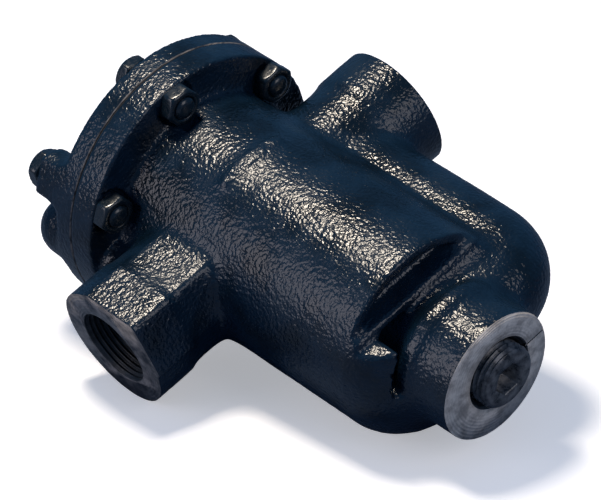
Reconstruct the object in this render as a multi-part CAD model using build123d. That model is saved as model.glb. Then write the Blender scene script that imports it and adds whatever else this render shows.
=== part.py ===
from build123d import *
import os
from math import cos, radians, sin

# Inverted-bucket steam trap with a built-in strainer. Sizes are millimetres.
# Origin: centre of the inlet port's mouth. +X runs with the flow to the outlet, +Z up to the cap.

# ports and barrel
face_to_face = 127.0
port_collar_radius = 21.5
port_collar_length = 15.5
port_neck_radius = 20.4
port_bore_radius = 12.3
inlet_bore_depth = 27.0
corner_top_z = 6.5
corner_z = -16.6
corner_foot_y = 2.5
corner_drop = 1.5
corner_round = 2.5
outlet_neck_share = 0.95
barrel_radius = 35.0
barrel_lip_radius = 34.2
barrel_lip_z = -75.0
chamber_radius = 29.5
chamber_floor_z = -62.0
chamber_floor_thickness = 7.0

# flange joint
flange_radius = 47.6
flange_underside_z = 26.1
body_flange_thickness = 9.4
gasket_thickness = 1.0
gasket_inner_radius = 30.5
gasket_recess = 0.6
cap_flange_thickness = 7.2
bolt_count = 6
bolt_first_angle = 30.0
tall_bolt_turn = 2.0
bolt_circle_radius = 41.4
bolt_radius = 3.9
bolt_hole_clearance = 0.3
bolt_tip_length = 1.4
hex_across_flats = 12.0
nut_height = 5.0
head_height = 4.4
spotface_clearance = 0.672
tall_boss_height = 10.8
tall_boss_radius = 8.3
tall_boss_foot_radius = 9.6
tall_boss_foot_height = 5.0

# inlet passage down the barrel and the strainer hub under it
ridge_offset = 35.2
ridge_radius = 16.2
elbow_outer_radius = 29.0
elbow_centre_z = -68.8
passage_radius = 6.0
passage_offset = 38.5
hub_shift = -1.3
hub_radius = 23.4
hub_shoulder_z = -92.5
hub_shoulder_round = 3.0
hub_waist_z = -86.5
hub_waist_radius = 18.4
pocket_outer_radius = 25.5
pocket_start_y = 2.0
hub_collar_radius = 21.9
hub_face_z = -105.2
bowl_z = -90.8
rib_y = 20.0
rib_thickness = 3.2
rib_crest_z = -78.0
skirt_wall = 3.4
strainer_shift = -3.0
strainer_radius = 15.0
strainer_top_z = -72.0
strainer_length = 20.0
screen_radius = 8.5
screen_wall = 0.6
screen_clearance = 0.1
screen_seat_depth = 3.5
screen_hole_radius = 0.9
screen_rows = 8
screen_holes_per_row = 12
plug_radius = 10.67
plug_mouth_radius = 12.7
plug_proud = 4.3
plug_length = 16.0
plug_chamfer = 1.2
plug_socket_flats = 9.6
plug_socket_depth = 8.0
plug_recess_depth = 2.4

# outlet passage through the flange joint and the cap
outlet_wall = 5.0
outlet_hole_radius = 4.5
outlet_hole_offset = 37.3
outlet_riser_radius = 8.6
cap_recess_clearance = 0.1756
cap_recess_depth = 4.5
cap_dome_radius = 31.0
cap_dome_height = 5.6
hump_radius = 10.2
hump_axis_height = 6.0

# valve gear
seat_offset = 15.0
seat_thread_radius = 4.0
seat_hex_flats = 10.0
seat_hex_height = 3.0
seat_nose_radius = 2.6
seat_nose_height = 1.5
seat_orifice_radius = 1.2
ball_radius = 2.0
valve_closed_gap = 0.05
lever_swing = 0.2
valve_stem_radius = 1.1
valve_stem_length = 2.9
lever_arm = 20.0
lever_thickness = 1.2
lever_width = 6.0
lever_pivot_width = 16.5
lever_end = 3.5
pivot_z = 32.2
pin_radius = 1.2
pin_spread = 6.0
pin_hole_clearance = 0.4
pin_head_radius = 2.0
pin_head_height = 0.8
pin_head_gap = 0.6
plate_thickness = 1.5
plate_z = 38.5
plate_half_width = 13.5
plate_margin = 4.0
plate_corner_radius = 2.0
plate_hole_clearance = 0.5
screw_radius = 2.0
screw_head_radius = 3.2
screw_head_height = 2.2
screw_length = 6.5
screw_back = 9.5
screw_spread = 9.5
retainer_radius = 2.3
retainer_flange_radius = 3.2
retainer_flange_height = 1.0
retainer_proud = 0.4

# bucket
bucket_radius = 25.0
bucket_wall = 1.0
bucket_top_z = 24.5
bucket_height = 74.0
vent_radius = 1.2
vent_offset = 14.0
clip_width = 3.0
clip_thickness = 1.0
clip_gap = 5.0
clip_foot = 8.0
clip_bar_gap = 0.5
rivet_radius = 1.0
rivet_head_radius = 1.8
rivet_head_height = 0.8
rivet_offset = 8.5
tube_radius = 6.0
tube_wall = 1.0
tube_top_z = -4.0

axis_x = face_to_face / 2
hub_x = axis_x + hub_shift
strainer_x = axis_x + strainer_shift
flange_top_z = flange_underside_z + body_flange_thickness
cap_bottom_z = flange_top_z + gasket_thickness
cap_top_z = cap_bottom_z + cap_flange_thickness
recess_z = cap_bottom_z + cap_recess_depth
plate_corner_x = lever_arm + plate_margin - plate_corner_radius
plate_corner_y = plate_half_width - plate_corner_radius
cap_recess_radius = (plate_corner_x**2 + plate_corner_y**2) ** 0.5 + plate_corner_radius + cap_recess_clearance
outlet_hole_x = axis_x + outlet_hole_offset
hump_z = cap_top_z + hump_axis_height
seat_x = axis_x + seat_offset
pivot_x = axis_x + lever_arm
ridge_x = axis_x - ridge_offset
elbow_x = ridge_x - ridge_radius + elbow_outer_radius
duct_z = elbow_centre_z - (elbow_outer_radius - ridge_radius)
bolt_hole_radius = bolt_radius + bolt_hole_clearance
spotface_radius = hex_across_flats / 3**0.5 + spotface_clearance
tall_boss_top_z = cap_top_z + tall_boss_height
screen_top_z = strainer_top_z + screen_seat_depth
plug_top_z = hub_face_z - plug_proud + plug_length
closed_drop = (ball_radius**2 - seat_orifice_radius**2) ** 0.5 + valve_closed_gap
closed_rise = recess_z - seat_hex_height - seat_nose_height - closed_drop - pivot_z
ball_rest_x = pivot_x + (seat_x - pivot_x) * cos(lever_swing) - closed_rise * sin(lever_swing)
ball_rest_z = pivot_z + (seat_x - pivot_x) * sin(lever_swing) + closed_rise * cos(lever_swing)
BOTTOM = (Align.CENTER, Align.CENTER, Align.MIN)


def upright(radius, low, high, x=axis_x, y=0.0):
    """A cylinder along Z between two heights."""
    return Pos(x, y, low) * Cylinder(radius, high - low, align=BOTTOM)


def along_x(radius, start, end, y=0.0, z=0.0):
    """A cylinder along X between two stations."""
    return Pos(start, y, z) * Rot(0, 90, 0) * Cylinder(radius, end - start, align=BOTTOM)


def taper(low_radius, high_radius, low, high, x=axis_x, y=0.0):
    """A cone along Z between two heights."""
    return Pos(x, y, low) * Cone(low_radius, high_radius, high - low, align=BOTTOM)


def block(x, y, z):
    """A box between two corners, given as a (low, high) pair for each direction."""
    size = (x[1] - x[0], y[1] - y[0], z[1] - z[0])
    return Pos((x[0] + x[1]) / 2, (y[0] + y[1]) / 2, (z[0] + z[1]) / 2) * Box(*size)


def hexagon(flats, low, high, x, y, turn=0.0):
    """A hexagonal prism along Z, measured across its flats."""
    face = RegularPolygon(flats / 2, 6, major_radius=False)
    return Pos(x, y, low) * Rot(0, 0, turn) * extrude(face, high - low)


def turned(points):
    """A solid of revolution about the barrel's axis from (radius, z) points."""
    outline = make_face(Plane.XZ * Polyline(*points, close=True))
    return Pos(axis_x, 0, 0) * revolve(outline, Axis.Z)


def bolt_places():
    """Each cap bolt's x, y and its number round the circle."""
    for number in range(bolt_count):
        own_turn = tall_bolt_turn if number == 0 else 0.0
        angle = radians(bolt_first_angle + own_turn + number * 360 / bolt_count)
        yield axis_x + bolt_circle_radius * cos(angle), bolt_circle_radius * sin(angle), number


def outlet_section():
    """The outlet boss is a round boss with one cast corner, squared off at +Y and below."""
    side_y, low_z = port_collar_radius, -port_collar_radius - corner_drop
    corner = make_face(Polyline((0, 0), (side_y, corner_top_z), (side_y, corner_z), (corner_foot_y, low_z), close=True))
    return Circle(port_collar_radius) + fillet(corner.vertices().group_by(Axis.X)[-1].sort_by(Axis.Y)[0], corner_round)


def outlet_boss(start, end, scale=1.0):
    """A length of the outlet boss along X."""
    section = outlet_section().scale(scale) if scale != 1.0 else outlet_section()
    return extrude(Plane(origin=(start, 0, 0), x_dir=(0, 1, 0), z_dir=(1, 0, 0)) * section, end - start)


def elbow():
    """The rounded corner where the inlet passage turns in under the barrel."""
    disc = Pos(ridge_x, 0, elbow_centre_z) * Circle(ridge_radius)
    keep = Pos(elbow_x - 50, 0, elbow_centre_z) * Rectangle(100, 100)
    return revolve(disc & keep, Axis((elbow_x, 0, elbow_centre_z), (0, -1, 0)), 90)


def bowl():
    """The rounded underside that joins the barrel to the strainer hub."""
    return turned([
        (0, chamber_floor_z), (barrel_lip_radius, chamber_floor_z), (barrel_lip_radius, barrel_lip_z),
        (33.2, -78.8), (31.7, -82.0), (29.7, -84.8), (27.1, -87.3), (24.1, -89.3), (21.0, bowl_z), (0, bowl_z),
    ])


def hub():
    """The strainer hub with its rounded shoulder and the machined collar for the blowdown plug."""
    shoulder = upright(hub_radius, hub_shoulder_z, hub_waist_z, x=hub_x)
    shoulder = fillet(shoulder.edges().sort_by(Axis.Z)[0], min(hub_shoulder_round, hub_radius / 3))
    rise = hub_radius - hub_waist_radius
    shoulder += taper(hub_radius, hub_waist_radius, hub_waist_z, hub_waist_z + rise, x=hub_x)
    shoulder += upright(hub_waist_radius, hub_waist_z, chamber_floor_z, x=hub_x)
    return shoulder + upright(hub_collar_radius, hub_face_z, hub_shoulder_z + 1, x=hub_x)


def underside_pockets():
    """The two cast hollows beside the hub, and the space outside the barrel's lip."""
    pocket_top = chamber_floor_z - chamber_floor_thickness
    inner = barrel_lip_radius - skirt_wall
    rib_out = rib_y + rib_thickness / 2
    rib_in = rib_y - rib_thickness / 2
    far = 60.0
    side = block((axis_x - far, axis_x + far), (rib_out, far), (-2 * far, barrel_lip_z))
    side += upright(inner, barrel_lip_z - 1, pocket_top) & block(
        (axis_x - far, axis_x + far), (rib_out, far), (-2 * far, far))
    crest = block((axis_x - far, axis_x + far), (rib_in, rib_out + 1), (-2 * far, rib_crest_z))
    groove = upright(pocket_outer_radius, bowl_z - 1, pocket_top) - upright(
        hub_waist_radius, bowl_z - 2, pocket_top + 1, x=hub_x)
    groove &= block((axis_x, axis_x + far), (pocket_start_y, rib_in), (-2 * far, far))
    flank = block((axis_x - far, axis_x), (0, rib_in + 1), (-2 * far, rib_crest_z - 2.5))
    return side + crest + groove + (flank - upright(hub_waist_radius, -2 * far, 0, x=hub_x))


def body():
    """The iron casting: barrel, flange, both ports, inlet passage and strainer hub."""
    outlet_start = axis_x + barrel_radius - 6
    collar_start = face_to_face - port_collar_length
    shell = bowl() - underside_pockets() + hub()
    shell += taper(barrel_lip_radius, barrel_radius, chamber_floor_z - chamber_floor_thickness, flange_underside_z)
    shell += upright(barrel_lip_radius, barrel_lip_z, chamber_floor_z) - upright(
        barrel_lip_radius - skirt_wall, barrel_lip_z - 1, chamber_floor_z)
    shell += upright(flange_radius, flange_underside_z, flange_top_z)
    shell += along_x(port_collar_radius, 0, port_collar_length)
    shell += along_x(port_neck_radius, port_collar_length - 1, axis_x - chamber_radius)
    shell += upright(ridge_radius, elbow_centre_z, 0, x=ridge_x)
    shell += elbow() + along_x(ridge_radius, elbow_x, axis_x, z=duct_z)
    shell += outlet_boss(collar_start, face_to_face)
    shell += outlet_boss(outlet_start, collar_start + 1, outlet_neck_share)
    shell += upright(outlet_riser_radius, 0, flange_underside_z + 1, x=outlet_hole_x)

    hollow = upright(chamber_radius, chamber_floor_z, flange_top_z + 1)
    hollow += along_x(port_bore_radius, -1, inlet_bore_depth)
    hollow += along_x(port_bore_radius, axis_x + chamber_radius + outlet_wall, face_to_face + 1)
    hollow += upright(passage_radius, duct_z, 0, x=axis_x - passage_offset)
    hollow += Pos(axis_x - passage_offset, 0, duct_z) * Sphere(passage_radius)
    hollow += along_x(passage_radius, axis_x - passage_offset, axis_x, z=duct_z)
    hollow += upright(strainer_radius, strainer_top_z - strainer_length, strainer_top_z, x=strainer_x)
    hollow += upright(screen_radius + screen_clearance, strainer_top_z - 1, screen_top_z, x=strainer_x)
    hollow += upright(tube_radius, screen_top_z - 1, chamber_floor_z + 1, x=strainer_x)
    hollow += upright(plug_radius, hub_face_z - 1, strainer_top_z - strainer_length + 1, x=strainer_x)
    hollow += taper(plug_mouth_radius, plug_radius, hub_face_z, hub_face_z + 2.4, x=strainer_x)
    hollow += upright(outlet_hole_radius, 0, flange_top_z + 1, x=outlet_hole_x)
    for x, y, _ in bolt_places():
        hollow += upright(bolt_hole_radius, flange_underside_z - 1, flange_top_z + 1, x, y)
        hollow += upright(spotface_radius, flange_underside_z - nut_height - 2.4, flange_underside_z, x, y)
    return shell - hollow


def cap():
    """The flanged cover, with the outlet passage's hump and one tall bolt boss."""
    shell = upright(flange_radius, cap_bottom_z, cap_top_z)
    dome = taper(cap_dome_radius, cap_dome_radius - cap_dome_height, cap_top_z - 1, cap_top_z + cap_dome_height)
    shell += fillet(dome.edges().sort_by(Axis.Z)[-1], cap_dome_height / 2)
    shell += along_x(hump_radius, axis_x, outlet_hole_x, z=hump_z)
    shell += Pos(axis_x, 0, hump_z) * Sphere(hump_radius)
    shell += Pos(outlet_hole_x, 0, hump_z) * Sphere(hump_radius)
    shell += upright(hump_radius, cap_bottom_z + 1, hump_z, x=outlet_hole_x)
    shell -= upright(2 * flange_radius, cap_bottom_z - 40, cap_bottom_z)
    bolts = list(bolt_places())
    tall_x, tall_y, _ = bolts[0]
    tall_boss = upright(tall_boss_radius, cap_top_z - 1, tall_boss_top_z, tall_x, tall_y)
    tall_boss += taper(
        tall_boss_foot_radius, tall_boss_radius, cap_top_z - 1, cap_top_z + tall_boss_foot_height, tall_x, tall_y)
    shell += tall_boss & upright(flange_radius, cap_top_z - 1, tall_boss_top_z + 1)
    hollow = upright(cap_recess_radius, cap_bottom_z - 1, recess_z)
    hollow += upright(outlet_hole_radius, cap_bottom_z - 1, hump_z, x=outlet_hole_x)
    hollow += Pos(outlet_hole_x, 0, hump_z) * Sphere(outlet_hole_radius)
    hollow += along_x(outlet_hole_radius, seat_x, outlet_hole_x, z=hump_z)
    hollow += upright(seat_thread_radius, recess_z - 1, hump_z, x=seat_x)
    for side in (-1, 1):
        hollow += upright(screw_radius, recess_z - 1, plate_z + screw_length, x=pivot_x - screw_back, y=side * screw_spread)
    for x, y, number in bolts:
        hollow += upright(bolt_hole_radius, cap_bottom_z - 1, tall_boss_top_z + 1, x, y)
        face_z = tall_boss_top_z if number == 0 else cap_top_z
        hollow += upright(spotface_radius, face_z, face_z + head_height + 12, x, y)
    shell -= hollow
    for side in (-1, 1):
        pad = upright(screw_head_radius, plate_z, recess_z, x=pivot_x - screw_back, y=side * screw_spread)
        shell += pad - upright(screw_radius, plate_z - 1, recess_z + 1, x=pivot_x - screw_back, y=side * screw_spread)
    return shell


def cap_gasket():
    """The flat joint ring, with holes for the bolts and the outlet passage."""
    ring = upright(flange_radius - gasket_recess, flange_top_z, cap_bottom_z)
    ring -= upright(gasket_inner_radius, flange_top_z - 1, cap_bottom_z + 1)
    ring -= upright(outlet_hole_radius, flange_top_z - 1, cap_bottom_z + 1, x=outlet_hole_x)
    for x, y, _ in bolt_places():
        ring -= upright(bolt_hole_radius, flange_top_z - 1, cap_bottom_z + 1, x, y)
    return ring


def cap_bolt(x, y, number):
    """One hex-head cap bolt, head up, its domed end just through its nut."""
    head_z = tall_boss_top_z if number == 0 else cap_top_z
    end_z = flange_underside_z - nut_height - bolt_tip_length
    crown = taper(hex_across_flats / 2 + 1.6, hex_across_flats / 2 - 0.6, head_z + head_height - 2.2, head_z + head_height, x, y)
    head = hexagon(hex_across_flats, head_z, head_z + head_height, x, y, turn=11 + 37 * number)
    head &= crown + upright(hex_across_flats, head_z, head_z + head_height - 2.2, x, y)
    shank = upright(bolt_radius, end_z + 1.0, head_z, x, y) + taper(bolt_radius - 0.9, bolt_radius, end_z, end_z + 1.0, x, y)
    return head + shank


def cap_nut(x, y, number):
    """One hex nut under the body flange, turned to its own angle."""
    low = flange_underside_z - nut_height
    nut = hexagon(hex_across_flats, low, flange_underside_z, x, y, turn=4 + 23 * number)
    crown = taper(hex_across_flats / 2 - 0.2, hex_across_flats / 2 + 1.6, low, low + 1.6, x, y)
    nut &= crown + upright(hex_across_flats, low + 1.6, flange_underside_z, x, y)
    return nut - upright(bolt_radius, low - 1, flange_underside_z + 1, x, y)


def blowdown_plug():
    """The hex-socket pipe plug that closes the strainer and holds its screen."""
    low = hub_face_z - plug_proud
    plug = upright(plug_radius, low + plug_chamfer, plug_top_z, x=strainer_x)
    plug += taper(plug_radius - plug_chamfer, plug_radius, low, low + plug_chamfer, x=strainer_x)
    plug -= hexagon(plug_socket_flats, low - 1, low + plug_socket_depth, strainer_x, 0)
    return plug - upright(screen_radius + screen_clearance, plug_top_z - plug_recess_depth, plug_top_z + 1, x=strainer_x)


def strainer_screen():
    """The perforated cylinder between the plug and the seat at the strainer's top."""
    low = plug_top_z - plug_recess_depth
    screen = upright(screen_radius, low, screen_top_z, x=strainer_x)
    screen -= upright(screen_radius - screen_wall, low - 1, screen_top_z + 1, x=strainer_x)
    pitch = strainer_length / (screen_rows + 1)
    for row in range(screen_rows):
        height = strainer_top_z - strainer_length + pitch * (row + 1)
        for hole in range(screen_holes_per_row // 2):
            turn = (hole + 0.5 * (row % 2)) * 360 / screen_holes_per_row
            cut = Rot(0, 90, 0) * Cylinder(screen_hole_radius, 3 * screen_radius)
            screen -= Pos(strainer_x, 0, height) * Rot(0, 0, turn) * cut
    return screen


def inlet_tube():
    """The tube that carries steam up from the strainer into the bucket."""
    tube = upright(tube_radius, screen_top_z, tube_top_z, x=strainer_x)
    return tube - upright(tube_radius - tube_wall, screen_top_z - 1, tube_top_z + 1, x=strainer_x)


def valve_seat():
    """The screwed seat under the cap, with its hex, nose and orifice."""
    seat = upright(seat_thread_radius, recess_z, recess_z + 5, x=seat_x)
    seat += hexagon(seat_hex_flats, recess_z - seat_hex_height, recess_z, seat_x, 0)
    nose_z = recess_z - seat_hex_height
    seat += upright(seat_nose_radius, nose_z - seat_nose_height, nose_z, x=seat_x)
    return seat - upright(seat_orifice_radius, nose_z - seat_nose_height - 1, recess_z + 6, x=seat_x)


def valve():
    """The ball-ended valve that closes the seat's orifice."""
    ball = Pos(ball_rest_x, 0, ball_rest_z) * Sphere(ball_radius)
    return ball + upright(valve_stem_radius, ball_rest_z - valve_stem_length, ball_rest_z, x=ball_rest_x)


def valve_retainer():
    """The flanged cup that holds the valve in the lever."""
    low = pivot_z - lever_thickness / 2
    cup = upright(retainer_radius, low, pivot_z + lever_thickness / 2 + retainer_proud, x=ball_rest_x)
    cup += upright(retainer_flange_radius, low - retainer_flange_height, low, x=ball_rest_x)
    return cup - valve()


def lever():
    """The flat lever, wide where it rocks on the guide pins and narrow at the bucket's clip."""
    low, high = pivot_z - lever_thickness / 2, pivot_z + lever_thickness / 2
    arm = block((axis_x - lever_end, pivot_x), (-lever_width / 2, lever_width / 2), (low, high))
    arm = fillet(arm.edges().filter_by(Axis.Z).group_by(Axis.X)[0], lever_width / 3)
    yoke_half = pin_radius + pin_hole_clearance + 1.2
    yoke = block((pivot_x - yoke_half, pivot_x + yoke_half), (-lever_pivot_width / 2, lever_pivot_width / 2), (low, high))
    arm += fillet(yoke.edges().filter_by(Axis.Z), yoke_half / 2)
    for side in (-1, 1):
        arm -= upright(pin_radius + pin_hole_clearance, low - 1, high + 1, x=pivot_x, y=side * pin_spread)
    return arm - upright(retainer_radius, low - 1, high + 1, x=ball_rest_x)


def guide_pin_plate():
    """The plate screwed under the cap that carries the guide pins around the seat."""
    x_range = (pivot_x - screw_back - plate_margin, pivot_x + plate_margin)
    plate = block(x_range, (-plate_half_width, plate_half_width), (plate_z - plate_thickness, plate_z))
    plate = fillet(plate.edges().filter_by(Axis.Z), plate_corner_radius)
    seat_hole = seat_hex_flats / 3**0.5 + plate_hole_clearance
    plate -= upright(seat_hole, plate_z - plate_thickness - 1, plate_z + 1, x=seat_x)
    for side in (-1, 1):
        plate -= upright(pin_radius, plate_z - plate_thickness - 1, plate_z + 1, x=pivot_x, y=side * pin_spread)
        plate -= upright(
            screw_radius, plate_z - plate_thickness - 1, plate_z + 1, x=pivot_x - screw_back, y=side * screw_spread)
    return plate


def guide_pin(side):
    """One headed pin that the lever rocks on."""
    head_top = pivot_z - lever_thickness / 2 - pin_head_gap
    pin = upright(pin_radius, head_top, plate_z, x=pivot_x, y=side * pin_spread)
    return pin + upright(pin_head_radius, head_top - pin_head_height, head_top, x=pivot_x, y=side * pin_spread)


def plate_screw(side):
    """One pan-head screw that holds the guide pin plate."""
    x, y, top = pivot_x - screw_back, side * screw_spread, plate_z - plate_thickness
    screw = upright(screw_radius, top, plate_z + screw_length - 0.5, x, y)
    screw += fillet(
        upright(screw_head_radius, top - screw_head_height, top, x, y).edges().sort_by(Axis.Z)[0],
        screw_head_height / 3)
    slot = block(
        (x - screw_head_radius, x + screw_head_radius), (y - 0.5, y + 0.5),
        (top - screw_head_height - 1, top - screw_head_height + 0.9))
    return screw - slot


def bucket():
    """The thin inverted bucket with its vent hole and rivet holes."""
    shell = upright(bucket_radius, bucket_top_z - bucket_height, bucket_top_z)
    shell = fillet(shell.edges().sort_by(Axis.Z)[-1], 2 * bucket_wall)
    inside = upright(bucket_radius - bucket_wall, bucket_top_z - bucket_height - 1, bucket_top_z - bucket_wall)
    shell -= fillet(inside.edges().sort_by(Axis.Z)[-1], bucket_wall)
    for side in (-1, 1):
        shell -= upright(rivet_radius, bucket_top_z - 2 * bucket_wall, bucket_top_z + 1, y=side * rivet_offset)
    return shell - upright(vent_radius, bucket_top_z - 2 * bucket_wall, bucket_top_z + 1, x=axis_x - vent_offset)


def bucket_clip():
    """The bent strap on the bucket's top whose bar hangs over the lever's end."""
    half = clip_width / 2
    bar_low = pivot_z + lever_thickness / 2 + clip_bar_gap
    leg = clip_gap / 2 + 1.5
    hoop = block((axis_x - half, axis_x + half), (-leg - clip_thickness, leg + clip_thickness),
                 (bucket_top_z, bar_low + clip_thickness))
    hoop -= block((axis_x - half - 1, axis_x + half + 1), (-leg, leg), (bucket_top_z - 1, bar_low))
    for side in (-1, 1):
        low_y, high_y = sorted((side * leg, side * (leg + clip_foot)))
        hoop += block((axis_x - half, axis_x + half), (low_y, high_y), (bucket_top_z, bucket_top_z + clip_thickness))
        hoop -= upright(rivet_radius, bucket_top_z - 1, bucket_top_z + clip_thickness + 0.001, y=side * rivet_offset)
    return hoop


def clip_rivet(side):
    """One rivet through the clip's foot and the bucket's top."""
    y = side * rivet_offset
    low, high = bucket_top_z - bucket_wall, bucket_top_z + clip_thickness
    rivet = upright(rivet_radius, low, high, y=y)
    rivet += upright(rivet_head_radius, high, high + rivet_head_height, y=y)
    return rivet + upright(rivet_head_radius, low - rivet_head_height, low, y=y)


def save(name, *solids):
    """Write one sub-part, or one group of identical ones, as its own STEP."""
    shape = solids[0] if len(solids) == 1 else Compound(children=list(solids))
    shape.label = name
    export_step(shape, f"parts/{name}.step")
    print(name, round(shape.volume, 1))


os.makedirs("parts", exist_ok=True)
places = list(bolt_places())
save("body", body())
save("cap", cap())
save("cap_gasket", cap_gasket())
save("long_cap_bolt", cap_bolt(*places[0]))
save("cap_bolts", *[cap_bolt(*place) for place in places[1:]])
save("cap_nuts", *[cap_nut(*place) for place in places])
save("blowdown_plug", blowdown_plug())
save("strainer_screen", strainer_screen())
save("inlet_tube", inlet_tube())
save("valve_seat", valve_seat())
save("valve", valve())
save("valve_retainer", valve_retainer())
save("lever", lever())
save("guide_pin_plate", guide_pin_plate())
save("guide_pin_front", guide_pin(-1))
save("guide_pin_rear", guide_pin(1))
save("plate_screws", *[plate_screw(side) for side in (-1, 1)])
save("bucket", bucket())
save("bucket_clip", bucket_clip())
save("clip_rivets", *[clip_rivet(side) for side in (-1, 1)])
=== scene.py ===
import bpy
import bmesh
import math
import numpy as np
from mathutils import Matrix, Vector


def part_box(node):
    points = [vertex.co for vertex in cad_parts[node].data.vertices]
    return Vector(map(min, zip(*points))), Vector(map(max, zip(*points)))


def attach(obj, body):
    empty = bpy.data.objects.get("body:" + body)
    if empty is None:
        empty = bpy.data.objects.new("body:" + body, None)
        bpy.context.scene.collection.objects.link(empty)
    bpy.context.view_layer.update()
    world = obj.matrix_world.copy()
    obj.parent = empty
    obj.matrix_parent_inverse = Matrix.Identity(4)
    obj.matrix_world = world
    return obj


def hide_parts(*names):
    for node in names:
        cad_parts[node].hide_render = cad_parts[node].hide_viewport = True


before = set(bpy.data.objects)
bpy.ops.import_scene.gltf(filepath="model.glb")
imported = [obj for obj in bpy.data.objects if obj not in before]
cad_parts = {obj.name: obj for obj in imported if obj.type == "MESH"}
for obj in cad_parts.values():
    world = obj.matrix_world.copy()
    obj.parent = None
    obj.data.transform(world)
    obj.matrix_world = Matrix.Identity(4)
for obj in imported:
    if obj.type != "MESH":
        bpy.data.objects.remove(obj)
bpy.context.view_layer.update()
mm = 0.001
print("frame loaded:", len(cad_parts), "CAD nodes")

gasketLow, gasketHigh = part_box("cap_gasket")
bodyLow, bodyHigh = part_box("body")
plugLow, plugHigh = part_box("blowdown_plug")
nutLow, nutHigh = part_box("cap_nuts")
boltLow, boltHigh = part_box("cap_bolts")
longLow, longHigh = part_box("long_cap_bolt")

# everything below is in millimetres until a mesh is made
trap = {
    "axisX": (gasketLow[0] + gasketHigh[0]) / 2 / mm,
    "jointLow": gasketLow[2] / mm, "jointHigh": gasketHigh[2] / mm,
    "portEnd": bodyHigh[0] / mm, "hubFace": bodyLow[2] / mm,
    "flangeUnder": nutHigh[2] / mm, "nutFoot": nutLow[2] / mm,
    "headTop": boltHigh[2] / mm, "boltTip": boltLow[2] / mm, "longTop": longHigh[2] / mm,
    "plugFoot": plugLow[2] / mm, "plugTop": plugHigh[2] / mm,
    "plugX": (plugLow[0] + plugHigh[0]) / 2 / mm, "collarX": (gasketLow[0] + gasketHigh[0]) / 2 / mm - 1.3,
    "boltCircle": 41.4, "firstAngle": 30.0, "tallTurn": 2.0, "bolts": 6,
    "acrossFlats": 12.0, "headHeight": 4.4, "boltRadius": 3.9, "spotface": 7.6,
    "barrel": 35.0, "flange": 47.6, "chamber": 29.5,
    "threadPitch": 25.4 / 14,
}


def linear(hexColour):  # sRGB hex to the linear colour that shaders take
    parts = [int(hexColour[i:i + 2], 16) / 255 for i in (1, 3, 5)]
    return [c / 12.92 if c <= 0.04045 else ((c + 0.055) / 1.055) ** 2.4 for c in parts] + [1.0]


def addNode(tree, kind, inputs=None, **settings):  # one node, its settings, and its values or links
    node = tree.nodes.new(kind)
    for key, value in settings.items():
        setattr(node, key, value)
    for key, value in (inputs or {}).items():
        if isinstance(value, bpy.types.NodeSocket):
            tree.links.new(value, node.inputs[key])
        else:
            node.inputs[key].default_value = value
    return node


def ramp(tree, value, stops):  # a colour ramp from (position, hex colour) pairs
    node = addNode(tree, "ShaderNodeValToRGB", {"Fac": value})
    for index, (position, colour) in enumerate(stops):
        stop = node.color_ramp.elements[index] if index < 2 else node.color_ramp.elements.new(position)
        stop.position = position
        stop.color = linear(colour)
    return node.outputs["Color"]


def spread(tree, value, low, high):  # noise values run 0.3 to 0.7, this stretches them to a range
    node = addNode(tree, "ShaderNodeMapRange", {
        "Value": value, "From Min": 0.3, "From Max": 0.7, "To Min": low, "To Max": high})
    return node.outputs["Result"]


def noise(tree, coords, size, detail=3.0, roughness=0.55):  # size is the grain's real width in mm
    node = addNode(tree, "ShaderNodeTexNoise", {
        "Vector": coords, "Scale": 1 / (size * mm), "Detail": detail, "Roughness": roughness})
    return node.outputs["Fac"]


def newMaterial(name):
    material = bpy.data.materials.new(name)
    material.use_nodes = True
    tree = material.node_tree
    tree.nodes.clear()
    shader = addNode(tree, "ShaderNodeBsdfPrincipled")
    out = addNode(tree, "ShaderNodeOutputMaterial", {"Surface": shader.outputs["BSDF"]})
    coords = addNode(tree, "ShaderNodeTexCoord").outputs["Object"]
    return material, tree, shader, coords, out


def meshObject(name, verts, faces, smooth=True):  # verts in mm
    mesh = bpy.data.meshes.new(name)
    mesh.from_pydata([tuple(c * mm for c in v) for v in verts], [], faces)
    mesh.update()
    if smooth:
        mesh.shade_smooth()
    obj = bpy.data.objects.new(name, mesh)
    bpy.context.collection.objects.link(obj)
    return obj


def bake(obj):  # turns the modifiers' result into the object's own plain mesh
    bpy.context.view_layer.update()
    mesh = bpy.data.meshes.new_from_object(obj.evaluated_get(bpy.context.evaluated_depsgraph_get()))
    obj.modifiers.clear()
    obj.data = mesh
    return obj


def finishPiece(obj, body, slot, *nodes):
    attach(obj, body)
    if nodes:
        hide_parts(*nodes)
    print(obj.name, len(obj.data.polygons), "faces")


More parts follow.
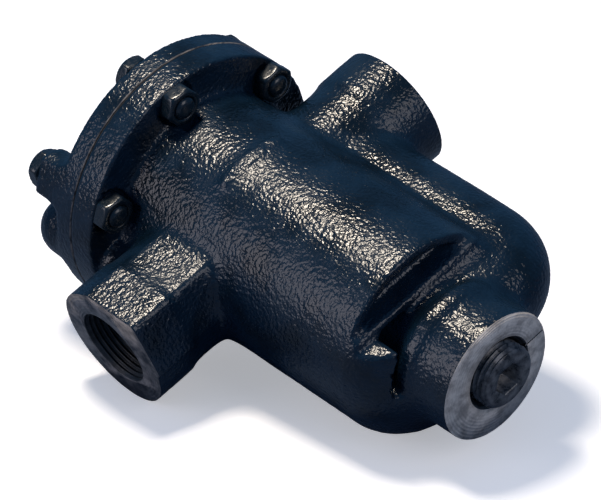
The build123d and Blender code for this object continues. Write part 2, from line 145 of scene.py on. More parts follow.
def blackEnamel():  # blue-black dipped enamel over sand-cast iron: wet gloss broken into sparkles by the grain under it
    enamel = {"deep": "#06131e", "blue": "#0b2032", "dusty": "#142636", "grainSize": 1.25, "fineSize": 0.8,
              "grainHeight": 0.36, "fineHeight": 0.06, "patchSize": 18.0, "gloss": (0.17, 0.30)}
    material, tree, shader, coords, _ = newMaterial("blackEnamelOnSandCastIron")
    patch = noise(tree, coords, enamel["patchSize"], 4.0)
    grain = noise(tree, coords, enamel["grainSize"], 1.0, 0.5)
    fine = noise(tree, coords, enamel["fineSize"], 0.0)
    colour = ramp(tree, patch, [(0.36, enamel["deep"]), (0.54, enamel["blue"]), (0.72, enamel["dusty"])])
    tree.links.new(colour, shader.inputs["Base Color"])
    tree.links.new(spread(tree, patch, *enamel["gloss"]), shader.inputs["Roughness"])
    coarse = addNode(tree, "ShaderNodeBump", {
        "Strength": 1.0, "Distance": enamel["grainHeight"] * mm, "Height": grain})
    small = addNode(tree, "ShaderNodeBump", {
        "Strength": 1.0, "Distance": enamel["fineHeight"] * mm, "Height": fine, "Normal": coarse.outputs["Normal"]})
    tree.links.new(small.outputs["Normal"], shader.inputs["Normal"])
    shader.inputs["IOR"].default_value = 1.5
    return material


def enamelOnSteel():  # the same enamel over rolled hex steel: smoother, pooled in the corners, thin on the edges
    finish = {"base": "#0a1822", "worn": "#3a3f44", "lumpSize": 1.6, "bump": 0.5, "gloss": (0.18, 0.38)}
    material, tree, shader, coords, _ = newMaterial("blackEnamelOnHexSteel")
    lumps = noise(tree, coords, finish["lumpSize"], 3.0)
    wear = noise(tree, coords, 0.9, 3.0, 0.7)
    tree.links.new(ramp(tree, wear, [(0.58, finish["base"]), (0.80, finish["worn"])]), shader.inputs["Base Color"])
    tree.links.new(spread(tree, lumps, *finish["gloss"]), shader.inputs["Roughness"])
    bump = addNode(tree, "ShaderNodeBump", {"Strength": finish["bump"], "Distance": 0.3 * mm, "Height": lumps})
    tree.links.new(bump.outputs["Normal"], shader.inputs["Normal"])
    shader.inputs["Coat Weight"].default_value = 0.4
    shader.inputs["Coat Roughness"].default_value = 0.15
    return material


def machinedIron(name, centre, axes, dark, tint):  # faced grey iron, thinly painted: fine rings from the facing cut
    face = {"ringPitch": 1.1, "bump": 0.45, "grainSize": 1.6}
    material, tree, shader, coords, _ = newMaterial(name)
    flat = addNode(tree, "ShaderNodeMapping", {
        "Vector": coords, "Location": [-c * mm * a for c, a in zip(centre, axes)], "Scale": axes})
    distance = addNode(tree, "ShaderNodeVectorMath", {0: flat.outputs["Vector"]}, operation="LENGTH")
    turns = addNode(tree, "ShaderNodeMath", {
        0: distance.outputs["Value"], 1: 2 * math.pi / (face["ringPitch"] * mm)}, operation="MULTIPLY")
    rings = addNode(tree, "ShaderNodeMath", {0: turns.outputs["Value"]}, operation="SINE")
    stain = noise(tree, coords, 5.0, 4.0, 0.65)
    grain = noise(tree, coords, face["grainSize"], 3.0)
    tree.links.new(ramp(tree, stain, [(0.36, dark), (0.60, tint)]), shader.inputs["Base Color"])
    tree.links.new(spread(tree, grain, 0.34, 0.56), shader.inputs["Roughness"])
    shader.inputs["Metallic"].default_value = 0.15
    mixed = addNode(tree, "ShaderNodeMath", {0: rings.outputs["Value"], 1: grain}, operation="ADD")
    bump = addNode(tree, "ShaderNodeBump", {
        "Strength": face["bump"], "Distance": 0.08 * mm, "Height": mixed.outputs["Value"]})
    tree.links.new(bump.outputs["Normal"], shader.inputs["Normal"])
    return material


def blackenedSteel():  # black-oxide pipe plug: oily sheen, bare grey on the thread crests
    finish = {"oxide": "#22252a", "bare": "#8b8a8b"}
    material, tree, shader, coords, _ = newMaterial("blackOxideSteel")
    smear = noise(tree, coords, 3.2, 4.0, 0.6)
    tree.links.new(ramp(tree, smear, [(0.36, finish["oxide"]), (0.78, finish["bare"])]), shader.inputs["Base Color"])
    tree.links.new(spread(tree, smear, 0.22, 0.42), shader.inputs["Roughness"])
    shader.inputs["Metallic"].default_value = 0.4
    fine = noise(tree, coords, 0.6, 2.0)
    bump = addNode(tree, "ShaderNodeBump", {"Strength": 0.15, "Distance": 0.1 * mm, "Height": fine})
    tree.links.new(bump.outputs["Normal"], shader.inputs["Normal"])
    return material


def graphiteGasket():  # pressed graphite and fibre: matt, ragged at its edge
    material, tree, shader, coords, _ = newMaterial("graphiteFibreGasket")
    fibre = noise(tree, coords, 0.8, 4.0, 0.7)
    tree.links.new(ramp(tree, fibre, [(0.4, "#08080a"), (0.65, "#1b1a19")]), shader.inputs["Base Color"])
    shader.inputs["Roughness"].default_value = 0.82
    bump = addNode(tree, "ShaderNodeBump", {"Strength": 0.5, "Distance": 0.3 * mm, "Height": fibre})
    tree.links.new(bump.outputs["Normal"], shader.inputs["Normal"])
    return material


def stainless(name, light, dark, grain):  # drawn or ground stainless: fine streaks along Z, slightly warm
    material, tree, shader, coords, _ = newMaterial(name)
    stretched = addNode(tree, "ShaderNodeMapping", {"Vector": coords, "Scale": (1, 1, 0.06)})
    streak = noise(tree, stretched.outputs["Vector"], grain, 3.0)
    tree.links.new(ramp(tree, streak, [(0.38, dark), (0.62, light)]), shader.inputs["Base Color"])
    tree.links.new(spread(tree, streak, 0.22, 0.38), shader.inputs["Roughness"])
    shader.inputs["Metallic"].default_value = 1.0
    bump = addNode(tree, "ShaderNodeBump", {"Strength": 0.1, "Distance": 0.05 * mm, "Height": streak})
    tree.links.new(bump.outputs["Normal"], shader.inputs["Normal"])
    return material


enamel = blackEnamel()
enamelSteel = enamelOnSteel()
# the hub face is the same faced grey iron as the ports. Its own grey-brown is lightened well beyond theirs as painted
# light, standing in for the fill light that falls on the hub face
hubIronPaintedLight = machinedIron("facedGreyIronHubPaintedLight", (trap["plugX"], 0, 0), (1, 1, 0), "#a49d97", "#e2d9d0")
portIron = machinedIron("facedGreyIronPort", (0, 0, 0), (0, 1, 1), "#34373d", "#8a8583")
threadIron = machinedIron("tappedGreyIron", (0, 0, 0), (0, 1, 1), "#15181c", "#33363a")
plugSteel = blackenedSteel()
gasketFibre = graphiteGasket()
drawnStainless = stainless("drawnStainlessSteel", "#a9a8a4", "#7d7c79", 0.35)
groundStainless = stainless("groundStainlessSteel", "#b8b7b3", "#8f8e8b", 0.2)
print("materials made:", len(bpy.data.materials))


def boltPlaces():
    for number in range(trap["bolts"]):
        ownTurn = trap["tallTurn"] if number == 0 else 0.0
        angle = math.radians(trap["firstAngle"] + ownTurn + number * 360 / trap["bolts"])
        yield trap["axisX"] + trap["boltCircle"] * math.cos(angle), trap["boltCircle"] * math.sin(angle)


def ringStack(rings, loop=False):  # verts and faces of a skin over rings of the same point count
    count = len(rings[0])
    verts = [tuple(p) for ring in rings for p in ring]
    faces = []
    rows = len(rings)
    for row in range(rows if loop else rows - 1):
        a, b = row * count, ((row + 1) % rows) * count
        faces += [(a + i, a + (i + 1) % count, b + (i + 1) % count, b + i) for i in range(count)]
    if not loop:  # close both ends with a fan
        for start, flip in ((0, True), ((rows - 1) * count, False)):
            centre = len(verts)
            verts.append(tuple(np.mean(verts[start:start + count], axis=0)))
            for i in range(count):
                j = (i + 1) % count
                faces.append((centre, start + j, start + i) if flip else (centre, start + i, start + j))
    return verts, faces


def round3(radius, z, sides=64, x=0.0, y=0.0):  # one level ring
    angles = np.arange(sides) * 2 * math.pi / sides
    return [(x + radius * math.cos(a), y + radius * math.sin(a), z) for a in angles]


def roundX(radius, x, sides=96):  # one ring about the ports' axis
    angles = np.arange(sides) * 2 * math.pi / sides
    return [(x, radius * math.cos(a), radius * math.sin(a)) for a in angles]


def boxPart(low, high):
    x0, y0, z0 = low
    x1, y1, z1 = high
    verts = [(x, y, z) for z in (z0, z1) for x, y in ((x0, y0), (x1, y0), (x1, y1), (x0, y1))]
    return verts, [(3, 2, 1, 0), (4, 5, 6, 7), (0, 1, 5, 4), (1, 2, 6, 5), (2, 3, 7, 6), (3, 0, 4, 7)]


def wrapped(outline, low, high):  # a raised mark: (degrees, z) outline wrapped on the barrel
    rings = []
    for radius in (low, high):
        rings.append([(trap["axisX"] + radius * math.cos(math.radians(a)), radius * math.sin(math.radians(a)), z)
                      for a, z in outline])
    verts, faces = ringStack(rings)
    return verts, [tuple(reversed(f)) for f in faces]


def gather(parts):  # several (verts, faces) parts as one
    verts, faces = [], []
    for partVerts, partFaces in parts:
        start = len(verts)
        verts += list(partVerts)
        faces += [tuple(start + i for i in f) for f in partFaces]
    return verts, faces


def cutter(name, parts, materials):
    obj = meshObject(name, *gather(parts), smooth=False)
    for material in materials:
        obj.data.materials.append(material)
    bm = bmesh.new()
    bm.from_mesh(obj.data)
    bmesh.ops.recalc_face_normals(bm, faces=bm.faces)
    bm.to_mesh(obj.data)
    bm.free()
    return obj


def fillCorners(mesh, rounds, share=0.8):  # lets inside corners fill up, as the sand's radius does
    count = len(mesh.vertices)
    places = np.empty(count * 3)
    mesh.vertices.foreach_get("co", places)
    places = places.reshape(-1, 3)
    normals = np.empty(count * 3)
    mesh.vertices.foreach_get("normal", normals)
    normals = normals.reshape(-1, 3)
    edges = np.empty(len(mesh.edges) * 2, dtype=np.int64)
    mesh.edges.foreach_get("vertices", edges)
    a, b = edges.reshape(-1, 2).T
    degree = np.bincount(a, minlength=count) + np.bincount(b, minlength=count)
    for _ in range(rounds):
        mean = np.stack([
            (np.bincount(a, places[b, k], count) + np.bincount(b, places[a, k], count)) / degree
            for k in range(3)], axis=1)
        outward = np.einsum("ij,ij->i", mean - places, normals)
        places += normals * (np.maximum(outward, 0) * share)[:, None]
    mesh.vertices.foreach_set("co", places.ravel())
    mesh.update()


def skinTree(material):  # pushes the casting's skin in and out: sand grain on top of slow hand-rammed unevenness
    tree = bpy.data.node_groups.new("sandCastSkin", "GeometryNodeTree")
    tree.interface.new_socket("Geometry", in_out="INPUT", socket_type="NodeSocketGeometry")
    for name in ("Grain Size", "Grain Depth", "Wave Size", "Wave Depth"):
        tree.interface.new_socket(name, in_out="INPUT", socket_type="NodeSocketFloat")
    tree.interface.new_socket("Seed", in_out="INPUT", socket_type="NodeSocketInt")
    tree.interface.new_socket("Geometry", in_out="OUTPUT", socket_type="NodeSocketGeometry")
    source = addNode(tree, "NodeGroupInput")
    position = addNode(tree, "GeometryNodeInputPosition").outputs["Position"]
    normal = addNode(tree, "GeometryNodeInputNormal").outputs["Normal"]
    total = None
    for size, depth in (("Grain Size", "Grain Depth"), ("Wave Size", "Wave Depth")):
        scale = addNode(tree, "ShaderNodeMath", {0: 1.0, 1: source.outputs[size]}, operation="DIVIDE")
        texture = addNode(tree, "ShaderNodeTexNoise", {
            "Vector": position, "W": source.outputs["Seed"], "Scale": scale.outputs[0], "Detail": 2.0},
            noise_dimensions="4D")
        centred = addNode(tree, "ShaderNodeMath", {0: texture.outputs["Fac"], 1: 0.5}, operation="SUBTRACT")
        grown = addNode(tree, "ShaderNodeMath", {0: centred.outputs[0], 1: source.outputs[depth]}, operation="MULTIPLY")
        total = grown.outputs[0] if total is None else addNode(
            tree, "ShaderNodeMath", {0: total, 1: grown.outputs[0]}, operation="ADD").outputs[0]
    offset = addNode(tree, "ShaderNodeVectorMath", {0: normal, "Scale": total}, operation="SCALE")
    moved = addNode(tree, "GeometryNodeSetPosition", {
        "Geometry": source.outputs["Geometry"], "Offset": offset.outputs["Vector"]})
    dressed = addNode(tree, "GeometryNodeSetMaterial", {"Geometry": moved.outputs["Geometry"], "Material": material})
    out = addNode(tree, "NodeGroupOutput")
    tree.links.new(dressed.outputs["Geometry"], out.inputs["Geometry"])
    return tree


def runTree(obj, tree, values):  # inputs are set by their sockets' identifiers before anything is evaluated
    modifier = obj.modifiers.new(tree.name, "NODES")
    modifier.node_group = tree
    for item in tree.interface.items_tree:
        if item.in_out == "INPUT" and item.name in values:
            modifier[item.identifier] = values[item.name]
    return bake(obj)


castSkin = skinTree(enamel)
casting = {"voxel": 0.88, "fillRounds": 45, "edgeRounds": 3, "grainSize": 1.7, "grainDepth": 0.20,
           "waveSize": 14.0, "waveDepth": 0.45, "stretch": 2.0, "insideShare": 0.12}


def castPiece(name, node, stretches, marks, cuts, insideTest, seed):
    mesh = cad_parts[node].data.copy()
    bm = bmesh.new()
    bm.from_mesh(mesh)
    bmesh.ops.remove_doubles(bm, verts=bm.verts, dist=0.002 * mm)
    for axis, place, sign in stretches:  # stock left on for machining
        for vert in bm.verts:
            if abs(vert.co[axis] - place * mm) < 0.02 * mm:
                vert.co[axis] += sign * casting["stretch"] * mm
    bm.to_mesh(mesh)
    bm.free()
    obj = bpy.data.objects.new(name, mesh)
    bpy.context.collection.objects.link(obj)
    if marks:
        extra = meshObject(name + "Marks", *gather(marks), smooth=False)
        with bpy.context.temp_override(active_object=obj, selected_editable_objects=[obj, extra]):
            bpy.ops.object.join()
    remesh = obj.modifiers.new("skin", "REMESH")
    remesh.mode = "VOXEL"
    remesh.voxel_size = casting["voxel"] * mm
    bake(obj)
    fillCorners(obj.data, casting["fillRounds"])
    smooth = obj.modifiers.new("edges", "SMOOTH")
    smooth.factor = 0.5
    smooth.iterations = casting["edgeRounds"]
    bake(obj)
    count = len(obj.data.vertices)
    places = np.empty(count * 3)
    obj.data.vertices.foreach_get("co", places)
    inside = obj.vertex_groups.new(name="inside")
    insideVerts = [int(i) for i in np.nonzero(insideTest(places.reshape(-1, 3) / mm))[0]]
    inside.add(insideVerts, 1.0, "REPLACE")
    thin = obj.modifiers.new("thin", "DECIMATE")  # the chamber nobody sees needs few faces
    thin.ratio = 1 - (1 - casting["insideShare"]) * len(insideVerts) / count
    thin.vertex_group = "inside"
    bake(obj)
    runTree(obj, castSkin, {
        "Grain Size": casting["grainSize"] * mm, "Grain Depth": casting["grainDepth"] * mm,
        "Wave Size": casting["waveSize"] * mm, "Wave Depth": casting["waveDepth"] * mm, "Seed": seed})
    for tool in cuts:  # machining
        cut = obj.modifiers.new("cut", "BOOLEAN")
        cut.operation = "DIFFERENCE"
        cut.solver = "MANIFOLD"
        cut.material_mode = "TRANSFER"
        cut.object = tool
        bake(obj)
        bpy.data.objects.remove(tool)
    obj.vertex_groups.clear()
    obj.data.shade_smooth()
    return obj


def makeBody():
    axisX, plugX, end, hub = trap["axisX"], trap["plugX"], trap["portEnd"], trap["hubFace"]
    far = 120.0
    scribe = {"y": 1.0, "width": 0.45, "depth": 0.4}
    bar = [(a, -7.4) for a in np.linspace(71, 114, 12)] + [(a, -4.9) for a in np.linspace(114, 71, 12)]
    marks = [wrapped(bar, 33.5, 36.3)]
    facing = cutter("facing", [
        boxPart((end, -far, -far), (end + far, far, far)), boxPart((-far, -far, -far), (0, far, far)),
        boxPart((0.5, -far, hub - far), (end - 0.5, far, hub)),
        boxPart((0.5, -far, trap["jointLow"]), (end - 0.5, far, far))], [portIron, hubIronPaintedLight])
    for polygon in facing.data.polygons[12:18]:  # the third box faces the hub
        polygon.material_index = 1
    bores = cutter("bores", [
        ringStack([roundX(13.5, end + 5), roundX(13.5, end - 25)]),
        ringStack([roundX(13.5, -5), roundX(13.5, 25)]),
        ringStack([round3(12.7, hub - 5, x=plugX), round3(12.7, hub, x=plugX), round3(10.9, hub + 2.2, x=plugX),
                   round3(10.9, trap["plugTop"], x=plugX)]),
        boxPart((trap["collarX"] - 25, scribe["y"], hub - 5), (plugX - 12, scribe["y"] + scribe["width"], hub + scribe["depth"]))],
        [threadIron])
    spots = cutter("spots", [
        ringStack([round3(trap["spotface"], trap["nutFoot"] - 2.4, x=x, y=y),
                   round3(trap["spotface"], trap["flangeUnder"] + 0.05, x=x, y=y)])
        for x, y in boltPlaces()], [enamel])

    def insideTest(p):
        radius = np.hypot(p[:, 0] - axisX, p[:, 1])
        return (radius < trap["chamber"] + 1) & (p[:, 2] > -64) & (p[:, 2] < trap["jointLow"] - 3)

    stretches = [(0, end, 1), (0, 0, -1), (2, hub, -1), (2, trap["jointLow"], 1)]
    body = castPiece("bodyCasting", "body", stretches, marks, [facing, bores, spots], insideTest, 3)
    finishPiece(body, "housing", "enamelled_iron", "body")
    return body


def makeCap():
    axisX = trap["axisX"]
    far = 120.0
    low = trap["jointHigh"]
    facing = cutter("capFacing", [boxPart((-far, -far, low - far), (2 * far, far, low))], [portIron])
    headSeat = trap["headTop"] - trap["headHeight"]
    tallSeat = trap["longTop"] - trap["headHeight"]
    places = list(boltPlaces())
    spots = cutter("capSpots", [
        ringStack([round3(trap["spotface"], seat - 0.05, x=x, y=y), round3(trap["spotface"], seat + 12, x=x, y=y)])
        for (x, y), seat in zip(places, [tallSeat] + [headSeat] * 5)], [enamel])

    def insideTest(p):
        radius = np.hypot(p[:, 0] - axisX, p[:, 1])
        return (radius < 28) & (p[:, 2] < low + 5.2)

    cap = castPiece("capCasting", "cap", [(2, low, -1)], [], [facing, spots], insideTest, 8)
    finishPiece(cap, "housing", "enamelled_iron", "cap")
    return cap


makeBody()
makeCap()


def hexRadius(angle, flats, cap=1.0):  # distance from the centre to a hexagon's side, corners eased
    side = flats / 2 / math.cos((angle % (math.pi / 3)) - math.pi / 6)
    return min(side, flats / 2 * 1.1547 * cap)


def hexRing(flats, z, sides=96, cap=1.0, limit=99.0, x=0.0, y=0.0):
    angles = np.arange(sides) * 2 * math.pi / sides
    return [(x + min(hexRadius(a, flats, cap), limit) * math.cos(a),
             y + min(hexRadius(a, flats, cap), limit) * math.sin(a), z) for a in angles]


def threadRadius(along, angle, root, crest):  # a 60 degree thread with small flats on crest and root
    phase = (along / trap["threadPitch"] - angle / (2 * math.pi)) % 1.0
    rise = min(max(1.25 * (1 - abs(2 * phase - 1)) - 0.125, 0), 1)
    return root + (crest - root) * rise


def makePortThread(name, mouth, inward):
    port = {"outer": 14.4, "lip": 13.48, "root": 13.3, "crest": 12.35, "threaded": 20.0, "depth": 25.6, "sides": 96}
    sides = port["sides"]
    angles = np.arange(sides) * 2 * math.pi / sides

    def ring(depth, radius):
        return [(mouth + inward * depth, radius(a) * math.cos(a), radius(a) * math.sin(a)) for a in angles]

    rings = [ring(0.8, lambda a: port["outer"]), ring(0.03, lambda a: port["lip"])]
    steps = int(port["threaded"] / trap["threadPitch"] * 10)
    for step in range(steps + 1):
        depth = 0.35 + step * port["threaded"] / steps
        mouthCut = port["lip"] - (depth - 0.03) * 0.55  # the mouth's chamfer runs into the first thread
        fade = min(1, max(0, (port["threaded"] - depth) / 2.5))

        def radius(a, depth=depth, fade=fade, mouthCut=mouthCut):
            cut = threadRadius(depth, a * inward, port["crest"], port["root"])
            return max(port["crest"] + (cut - port["crest"]) * fade, mouthCut)
        rings.append(ring(depth, radius))
    rings += [ring(port["depth"], lambda a: port["crest"]), ring(port["depth"], lambda a: port["outer"])]
    verts, faces = ringStack(rings, loop=True)
    sleeve = meshObject(name, verts, faces)
    turnOut(sleeve)
    sleeve.data.materials.append(threadIron)
    finishPiece(sleeve, "housing", "enamelled_iron")


def turnOut(obj):
    bm = bmesh.new()
    bm.from_mesh(obj.data)
    bmesh.ops.recalc_face_normals(bm, faces=bm.faces)
    bm.to_mesh(obj.data)
    bm.free()


def makePlug():
    plug = {"root": 9.75, "crest": 10.67, "face": 9.45, "socket": 9.6, "socketDepth": 8.0, "sides": 120,
            "screenRecess": 8.6, "recessDepth": 2.4}
    plugX, foot, top, sides = trap["plugX"], trap["plugFoot"], trap["plugTop"], plug["sides"]
    angles = np.arange(sides) * 2 * math.pi / sides

    def ring(z, radius):
        return [(plugX + radius(a) * math.cos(a), radius(a) * math.sin(a), z) for a in angles]

    rings = [ring(top - plug["recessDepth"], lambda a: plug["screenRecess"]), ring(top, lambda a: plug["screenRecess"])]
    length = top - foot
    steps = int(length / trap["threadPitch"] * 12)
    for step in range(steps + 1):
        z = top - step * (length - 0.5) / steps

        def radius(a, z=z):
            lead = plug["face"] + (z - foot) * 0.9  # the chamfer at the outer end cuts across the threads
            return min(threadRadius(z, a, plug["root"], plug["crest"]), lead)
        rings.append(ring(z, radius))
    rings += [ring(foot + 0.12, lambda a: plug["face"] - 0.15), ring(foot, lambda a: plug["face"] - 0.4)]
    rings += [ring(foot, lambda a: hexRadius(a, plug["socket"]) + 0.55), ring(foot + 0.5, lambda a: hexRadius(a, plug["socket"]))]
    rings += [ring(foot + plug["socketDepth"], lambda a: hexRadius(a, plug["socket"])),
              ring(foot + plug["socketDepth"] + 0.4, lambda a: 3.6)]
    obj = meshObject("blowdownPlug", *ringStack(rings))
    turnOut(obj)
    obj.data.materials.append(plugSteel)
    finishPiece(obj, "housing", "blackened_steel", "blowdown_plug")


def boltMesh(name, seat, headHeight, tip):  # one bolt at the origin of its own axis, head up
    flats, shank = trap["acrossFlats"], trap["boltRadius"]
    half = flats / 2
    rings = [round3(0.8, tip, 96), round3(shank - 1.5, tip + 0.25, 96), round3(shank - 0.5, tip + 0.8, 96),
             round3(shank, tip + 1.6, 96), round3(shank, seat - 0.02, 96),
             hexRing(flats, seat, cap=0.97, limit=half * 1.02), hexRing(flats, seat + 0.35, cap=0.985, limit=half * 1.1),
             hexRing(flats, seat + 0.7, cap=0.985), hexRing(flats, seat + headHeight - 1.9, cap=0.985),
             hexRing(flats, seat + headHeight - 1.2, cap=0.985, limit=half * 1.11),
             hexRing(flats, seat + headHeight - 0.55, cap=0.97, limit=half * 1.03),
             hexRing(flats * 0.985, seat + headHeight - 0.15, limit=half * 0.95),
             round3(half * 0.86, seat + headHeight, 96), round3(half * 0.4, seat + headHeight, 96)]
    obj = meshObject(name, *ringStack(rings))
    turnOut(obj)
    return obj


def nutMesh(name):
    flats, half = trap["acrossFlats"], trap["acrossFlats"] / 2
    foot, seat, bore = trap["nutFoot"], trap["flangeUnder"], trap["boltRadius"] + 0.02
    rings = [round3(bore, seat, 96), hexRing(flats * 0.985, seat, limit=half * 1.06), hexRing(flats, seat - 0.4, cap=0.985),
             hexRing(flats, foot + 1.5, cap=0.985), hexRing(flats, foot + 0.8, cap=0.985, limit=half * 1.1),
             hexRing(flats * 0.99, foot + 0.25, limit=half * 1.0), round3(half * 0.88, foot, 96),
             round3(bore + 0.7, foot, 96), round3(bore, foot + 0.5, 96)]
    obj = meshObject(name, *ringStack(rings, loop=True))
    turnOut(obj)
    return obj


def boltCircleTree():  # one fastener copied round the bolt circle, each turned its own way
    tree = bpy.data.node_groups.new("boltCircle", "GeometryNodeTree")
    tree.interface.new_socket("Geometry", in_out="INPUT", socket_type="NodeSocketGeometry")
    for name, kind in (("Fastener", "Object"), ("Count", "Int"), ("Skip", "Int"), ("Circle Radius", "Float"),
                       ("First Angle", "Float"), ("First Shift", "Vector"), ("Axis X", "Float"), ("Seed", "Int"), ("Finish", "Material")):
        tree.interface.new_socket(name, in_out="INPUT", socket_type="NodeSocket" + kind)
    tree.interface.new_socket("Geometry", in_out="OUTPUT", socket_type="NodeSocketGeometry")
    source = addNode(tree, "NodeGroupInput").outputs
    circle = addNode(tree, "GeometryNodeMeshCircle", {"Vertices": source["Count"], "Radius": source["Circle Radius"]})
    turn = addNode(tree, "ShaderNodeCombineXYZ", {"Z": source["First Angle"]})
    shift = addNode(tree, "ShaderNodeCombineXYZ", {"X": source["Axis X"]})
    placed = addNode(tree, "GeometryNodeTransform", {
        "Geometry": circle.outputs["Mesh"], "Rotation": turn.outputs[0], "Translation": shift.outputs[0]})
    points = addNode(tree, "GeometryNodeMeshToPoints", {"Mesh": placed.outputs["Geometry"]})
    index = addNode(tree, "GeometryNodeInputIndex").outputs["Index"]
    first = addNode(tree, "FunctionNodeCompare", {2: index, 3: 0}, data_type="INT", operation="EQUAL")
    moved = addNode(tree, "GeometryNodeSetPosition", {
        "Geometry": points.outputs["Points"], "Selection": first.outputs["Result"], "Offset": source["First Shift"]})
    early = addNode(tree, "FunctionNodeCompare", {2: index, 3: source["Skip"]}, data_type="INT", operation="LESS_THAN")
    kept = addNode(tree, "GeometryNodeDeleteGeometry", {
        "Geometry": moved.outputs["Geometry"], "Selection": early.outputs["Result"]}, domain="POINT")
    spin = addNode(tree, "FunctionNodeRandomValue", {"Min": (0, 0, 0), "Max": (0, 0, math.pi / 3), "Seed": source["Seed"]},
                   data_type="FLOAT_VECTOR")
    shape = addNode(tree, "GeometryNodeObjectInfo", {"Object": source["Fastener"]}, transform_space="ORIGINAL")
    copies = addNode(tree, "GeometryNodeInstanceOnPoints", {
        "Points": kept.outputs["Geometry"], "Instance": shape.outputs["Geometry"], "Rotation": spin.outputs["Value"]})
    solid = addNode(tree, "GeometryNodeRealizeInstances", {"Geometry": copies.outputs["Instances"]})
    dressed = addNode(tree, "GeometryNodeSetMaterial", {"Geometry": solid.outputs["Geometry"], "Material": source["Finish"]})
    out = addNode(tree, "NodeGroupOutput")
    tree.links.new(dressed.outputs["Geometry"], out.inputs["Geometry"])
    return tree


def makeFasteners():
    tree = boltCircleTree()
    place = next(boltPlaces())
    plain = math.radians(trap["firstAngle"])
    shift = (place[0] - trap["axisX"] - trap["boltCircle"] * math.cos(plain), place[1] - trap["boltCircle"] * math.sin(plain))
    seat = trap["headTop"] - trap["headHeight"]
    tallSeat = trap["longTop"] - trap["headHeight"]
    sets = [
        ("capBolts", boltMesh("boltPattern", seat, trap["headHeight"], trap["boltTip"]), trap["bolts"], 1, 4, "cap_bolts"),
        ("longCapBolt", boltMesh("longPattern", tallSeat, trap["headHeight"], trap["boltTip"]), 1, 0, 7, "long_cap_bolt"),
        ("capNuts", nutMesh("nutPattern"), trap["bolts"], 0, 5, "cap_nuts"),
    ]
    for name, pattern, count, skip, seed, node in sets:
        holder = meshObject(name, [], [])
        if count == 1:  # a circle needs three points, so the single bolt is placed directly
            pattern.data.transform(Matrix.Translation((place[0] * mm, place[1] * mm, 0)) @ Matrix.Rotation(0.6, 4, "Z"))
            holder.data = pattern.data.copy()
            holder.data.materials.append(enamelSteel)
        else:
            runTree(holder, tree, {
                "Fastener": pattern, "Count": count, "Skip": skip, "Circle Radius": trap["boltCircle"] * mm,
                "First Angle": plain, "First Shift": (shift[0] * mm, shift[1] * mm, 0.0), "Axis X": trap["axisX"] * mm, "Seed": seed,
                "Finish": enamelSteel})
        bpy.data.objects.remove(pattern)
        finishPiece(holder, "housing", "enamelled_steel", node)


makePortThread("outletThread", trap["portEnd"], -1)
makePortThread("inletThread", 0.0, 1)
makePlug()
makeFasteners()


def dress(names, material):
    for name in names:
        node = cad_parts[name]
        node.data.materials.clear()
        node.data.materials.append(material)


dress(["cap_gasket"], gasketFibre)
dress(["bucket", "strainer_screen", "inlet_tube", "bucket_clip", "clip_rivets", "lever", "guide_pin_plate"], drawnStainless)
dress(["valve", "valve_seat", "valve_retainer", "guide_pin_front", "guide_pin_rear", "plate_screws"], groundStainless)
print("CAD finishes set")


table = {"normal": (-0.375, 0.918, 0.131), "drop": 67.7, "size": 3.0, "colour": "#f6f7fb",
         "bounce": "#5a6c86", "glow": 0.42}  # the paper throws back less light than the eye sees on it


def makeTable():
    up = Vector(table["normal"]).normalized()
    centre = Vector((trap["axisX"], 0, -20)) * mm
    foot = centre - up * (centre.dot(up) + table["drop"] * mm)
    turn = up.to_track_quat("Z", "Y").to_matrix()
    half = table["size"] / 2
    corners = [foot + turn @ Vector((x, y, 0)) for x, y in ((-half, -half), (half, -half), (half, half), (-half, half))]
    mesh = bpy.data.meshes.new("table")
    mesh.from_pydata([tuple(c) for c in corners], [], [(0, 1, 2, 3)])
    floor = bpy.data.objects.new("table", mesh)
    bpy.context.collection.objects.link(floor)
    material, tree, shader, coords, out = newMaterial("whitePaperSweep")
    shader.inputs["Roughness"].default_value = 0.6
    shader.inputs["Specular IOR Level"].default_value = 0.2
    clear = addNode(tree, "ShaderNodeBsdfTransparent")
    behind = addNode(tree, "ShaderNodeNewGeometry").outputs["Backfacing"]
    mixed = addNode(tree, "ShaderNodeMixShader", {0: behind, 1: shader.outputs["BSDF"], 2: clear.outputs["BSDF"]})
    tree.links.new(mixed.outputs["Shader"], out.inputs["Surface"])
    seen = addNode(tree, "ShaderNodeLightPath").outputs["Is Camera Ray"]
    tone = addNode(tree, "ShaderNodeMix", {
        0: seen, 6: linear(table["bounce"]), 7: linear(table["colour"])}, data_type="RGBA")
    tree.links.new(tone.outputs[2], shader.inputs["Base Color"])
    glow = addNode(tree, "ShaderNodeMath", {0: seen, 1: table["glow"]}, operation="MULTIPLY")
    tree.links.new(glow.outputs["Value"], shader.inputs["Emission Strength"])
    shader.inputs["Emission Color"].default_value = linear(table["colour"])
    mesh.materials.append(material)
    return up


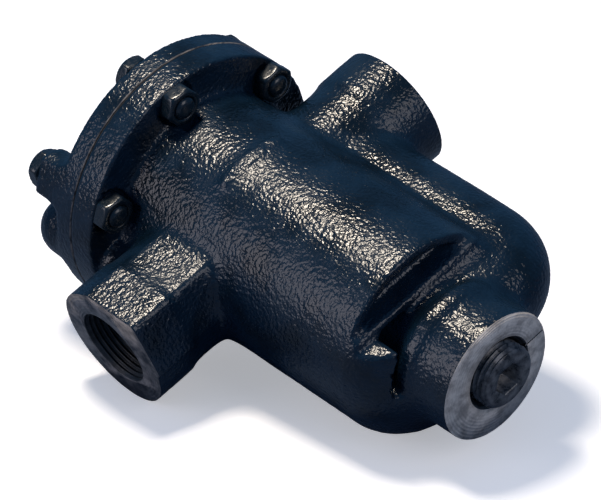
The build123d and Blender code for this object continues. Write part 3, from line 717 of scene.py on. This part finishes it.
camera = {"right": (-0.7039, -0.1893, -0.6846), "up": (-0.6115, 0.6519, 0.4484), "back": (0.3614, 0.7343, -0.5746),
          "place": (444.0, 775.0, -626.0), "lens": 199.27}


def makeCamera():
    data = bpy.data.cameras.new("camera")
    data.lens = camera["lens"]
    data.sensor_width = 36
    data.clip_end = 10
    obj = bpy.data.objects.new("camera", data)
    bpy.context.collection.objects.link(obj)
    columns = [Vector(camera[k]).normalized() for k in ("right", "up", "back")]
    turn = Matrix(columns).transposed().to_4x4()
    obj.matrix_world = Matrix.Translation(Vector(camera["place"]) * mm) @ turn
    bpy.context.scene.camera = obj
    return columns


lights = {  # power in watts, size and distance in metres, direction as shares of camera right, table up, camera back
    "key": {"power": 6.0, "size": 0.18, "distance": 0.8, "aim": (-0.25, 1.0, -0.10), "colour": "#fff1dd"},
    "fill": {"power": 2.6, "size": 0.6, "distance": 1.1, "aim": (0.8, 0.25, 0.9), "colour": "#ece6e6"},
    "rim": {"power": 1.6, "size": 0.45, "distance": 0.8, "aim": (-1.0, 0.1, 0.5), "colour": "#efe6ea"},
    "world": {"colour": "#6fa5e2", "strength": 0.30},
}


def makeLights(up, columns):
    centre = Vector((trap["axisX"], 0, -25)) * mm
    for name in ("key", "fill", "rim"):
        lamp = lights[name]
        right, lift, back = lamp["aim"]
        direction = (columns[0] * right + up * lift + columns[2] * back).normalized()
        data = bpy.data.lights.new(name, "AREA")
        data.energy = lamp["power"]
        data.size = lamp["size"]
        data.color = linear(lamp["colour"])[:3]
        obj = bpy.data.objects.new(name, data)
        bpy.context.collection.objects.link(obj)
        obj.matrix_world = (Matrix.Translation(centre + direction * lamp["distance"])
                            @ direction.to_track_quat("Z", "Y").to_matrix().to_4x4())
    world = bpy.data.worlds.new("room")
    world.use_nodes = True
    background = world.node_tree.nodes["Background"]
    background.inputs["Color"].default_value = linear(lights["world"]["colour"])
    background.inputs["Strength"].default_value = lights["world"]["strength"]
    bpy.context.scene.world = world
    bpy.context.scene.view_settings.view_transform = "Standard"


makeLights(makeTable(), makeCamera())
print("table, camera and lights set")
